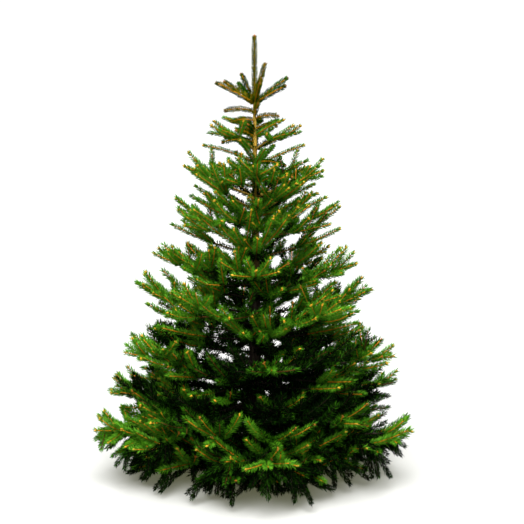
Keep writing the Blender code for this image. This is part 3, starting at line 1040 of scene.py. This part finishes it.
def twigs(sprays):
    """The twigs under the needles. Older wood of the boughs themselves is left to their bark."""
    parts = MeshParts()
    for spray in sprays:
        shoot = spray.shoot
        if shoot.order > 0 or shoot.age < 2:
            parts.add(*tube(shoot.points, shoot.radii, TWIG_SIDES), twig_tone(spray))
    parts.piece("twigs", plain_set(TWIG_COLOURS, roughness=0.7, specular=0.1), smooth=True)


def bud(tip, direction, length, radius):
    """An eight-sided pointed bud."""
    side, over = axes_across(direction)
    middle = tip + direction * (length * BUD_WIDEST)
    ring = [middle + side * radius, middle + over * radius, middle - side * radius, middle - over * radius]
    points = [tip - direction * length * BUD_ROOT] + ring + [tip + direction * length]
    faces = []
    for k in range(4):
        a, b = 1 + k, 1 + (k + 1) % 4
        faces += [(0, b, a), (5, a, b)]
    return points, faces


def has_buds(spray, chance):
    if spray.shoot.age > 0 or spray.shoot.hanging:
        return False
    return on_crown_top(spray) or (spray.tone >= MID and chance.random() < BUD_CHANCE)


def buds(sprays):
    """A bud at the tip of a shoot, with a smaller one on each side."""
    chance = random.Random(f"{SEED} buds")
    parts = MeshParts()
    for spray in sprays:
        if not has_buds(spray, chance):
            continue
        tip = spray.shoot.points[-1]
        direction = (tip - spray.shoot.points[-2]).normalized()
        side, over = axes_across(direction)
        turn = chance.uniform(0, math.pi)
        spread = side * math.cos(turn) + over * math.sin(turn)
        # painted shade: buds on mid-tone, less lit shoots are brown, and on lighter shoots gold; the crown
        # top's buds are brown as they are
        tone = BUD_BROWN if on_crown_top(spray) or spray.tone == MID else BUD_GOLD
        for way, size in ((0, 1.0), (1, SIDE_BUD), (-1, SIDE_BUD)):
            pointing = (direction + spread * (way * BUD_SPREAD)).normalized()
            parts.add(*bud(tip, pointing, BUD_LENGTH * size, BUD_RADIUS * size), tone)
    parts.piece("buds", plain_set(BUD_COLOURS, roughness=0.5, specular=0.3))


# ---------------------------------------------------------------- trunk, boughs and stand


def stretched(point, scale):
    return Vector((point.x * scale.x, point.y * scale.y, point.z * scale.z))


def bark_relief(point, radius):
    """How far the bark stands out at a point: long ridges with small scales on them."""
    ridge = noise.noise(stretched(point, RIDGES))
    scale = noise.noise(stretched(point, SCALES))
    return radius * (RIDGE_DEPTH * ridge + SCALE_DEPTH * scale)


def collared_radius(z):
    """The trunk swells a little where each tier's boughs leave it."""
    nearest = min(abs(z - tier.height) for tier in (TOP_TIER,) + TIERS)
    collar = max(0.0, 1 - nearest / COLLAR_HEIGHT) ** 2
    return trunk_radius(z) * (1 + COLLAR_DEPTH * collar)


def trunk(bark):
    count = round((FORK_HEIGHT - BOARD_HEIGHT) / TRUNK_STEP)
    heights = [mix(BOARD_HEIGHT + TRUNK_CLEAR, FORK_HEIGHT, s) for s in shares_in(count)]
    centres = [trunk_centre(z) for z in heights]
    radii = [collared_radius(z) for z in heights]
    parts = MeshParts()
    parts.add(*tube(centres, radii, TRUNK_SIDES, bark_relief))
    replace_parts(parts.piece("trunk_bark", [bark], smooth=True), "trunk")


def bough_tube(bough, axis):
    """A bough from inside the trunk to where its last year's growth starts."""
    start = trunk_radius(bough.height) * IN_TRUNK
    end = math.hypot(axis.points[-1].x, axis.points[-1].y)
    year = (end - start) / axis.years
    count = round((end - year - start) / BOUGH_STEP)
    reaches = [mix(start, end - year, s) for s in shares_in(count)]
    radii = [TIP_RADIUS + YEAR_RADIUS[0] * (end - reach) / year for reach in reaches]
    return tube([bough_point(bough, reach) for reach in reaches], radii, BOUGH_SIDES, bark_relief)


def boughs(stems, bark):
    """The bark of every bough that is older than a year."""
    parts = MeshParts()
    for bough, axis in stems:
        if axis.years > 1:
            parts.add(*bough_tube(bough, axis))
    made = parts.piece("boughs_bark", [bark], smooth=True)
    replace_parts(made, *[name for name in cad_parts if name.startswith("bough_")])


def stand():
    """The two boards keep the shape of their solids and get planed spruce."""
    for board in BOARDS:
        materials = bpy.data.objects[board.node].data.materials
        materials.clear()
        materials.append(board_material(f"{board.node}_wood", board.length_axis, board.pith))


# ---------------------------------------------------------------- studio

FLOOR_SIDE = 120
FLOOR_SEEN = 0.50  # how white the floor is to the camera
FLOOR_FELT = 0.16  # and to the light that it throws back into the crown
# painted light: the floor glows a little, which lifts the shadow under the tree and tints it yellowish
FLOOR_GLOW = 0.10
GLOW_COLOUR = (0.97, 1.0, 0.55)
AMBIENT = 0.14  # the strength of the world's light
BACKDROP = 1.1  # and how bright the camera sees it
Sun = namedtuple("Sun", "name direction strength angle")
SUNS = (
    Sun("key", (0.05, 0.40, -1.0), 4.6, 58),
    Sun("soft_key", (0.0, 0.50, -1.0), 1.9, 90),
    Sun("low_fill", (0.15, 1.0, -0.55), 0.6, 60),
    Sun("back_fill", (0.0, -0.80, -1.0), 0.9, 80),
)
EYE = Vector((0.024, -3.6, 1.1))
AIM = Vector((0.024, 0, 0.68))
LENS = 77
SENSOR = 36


def seen_or_felt(tree, felt, seen, target):
    """One shader for what the camera sees directly and another for the light that the crown gets."""
    rays = tree.nodes.new("ShaderNodeLightPath")
    blend = tree.nodes.new("ShaderNodeMixShader")
    tree.links.new(rays.outputs["Is Camera Ray"], blend.inputs["Fac"])
    tree.links.new(felt, blend.inputs[1])
    tree.links.new(seen, blend.inputs[2])
    tree.links.new(blend.outputs["Shader"], target)


def white_floor():
    half = FLOOR_SIDE / 2
    corners = [(x * half, y * half, 0) for x, y in ((-1, -1), (1, -1), (1, 1), (-1, 1))]
    mesh = bpy.data.meshes.new("floor")
    mesh.from_pydata(corners, [], [(0, 1, 2, 3)])
    paper = principled("paper", (FLOOR_SEEN,) * 3, roughness=0.9, specular=0.0)
    tree = paper.node_tree
    shader = tree.nodes["Principled BSDF"]
    # painted light: a faint yellowish glow that lifts the floor's shadow
    shader.inputs["Emission Color"].default_value = (*GLOW_COLOUR, 1)
    shader.inputs["Emission Strength"].default_value = FLOOR_GLOW
    felt = tree.nodes.new("ShaderNodeBsdfDiffuse")
    felt.inputs["Color"].default_value = (FLOOR_FELT, FLOOR_FELT, FLOOR_FELT, 1)
    target = tree.nodes["Material Output"].inputs["Surface"]
    seen_or_felt(tree, felt.outputs["BSDF"], shader.outputs["BSDF"], target)
    mesh.materials.append(paper)
    placed("floor", mesh)


def white_world():
    world = bpy.data.worlds.new("studio")
    bpy.context.scene.world = world
    world.use_nodes = True
    tree = world.node_tree
    felt = tree.nodes["Background"]
    seen = tree.nodes.new("ShaderNodeBackground")
    for background, strength in ((felt, AMBIENT), (seen, BACKDROP)):
        background.inputs["Color"].default_value = (1, 1, 1, 1)
        background.inputs["Strength"].default_value = strength
    target = tree.nodes["World Output"].inputs["Surface"]
    seen_or_felt(tree, felt.outputs["Background"], seen.outputs["Background"], target)


def soft_sun(spec):
    light = bpy.data.lights.new(spec.name, "SUN")
    light.energy = spec.strength
    light.angle = math.radians(spec.angle)
    lamp = placed(spec.name, light)
    lamp.rotation_euler = Vector(spec.direction).to_track_quat("-Z", "Y").to_euler()


def view_camera():
    camera = bpy.data.cameras.new("camera")
    camera.sensor_width = SENSOR
    camera.lens = LENS
    viewer = placed("camera", camera)
    viewer.location = EYE
    viewer.rotation_euler = (AIM - EYE).to_track_quat("-Z", "Y").to_euler()
    bpy.context.scene.camera = viewer


# ---------------------------------------------------------------- the whole scene

tree_stems, tree_sprays = foliage()
twigs(tree_sprays)
buds(tree_sprays)
tree_bark = bark_material()
trunk(tree_bark)
boughs(tree_stems, tree_bark)
stand()

white_floor()
white_world()
for sun in SUNS:
    soft_sun(sun)
view_camera()
bpy.context.scene.view_settings.view_transform = "Standard"
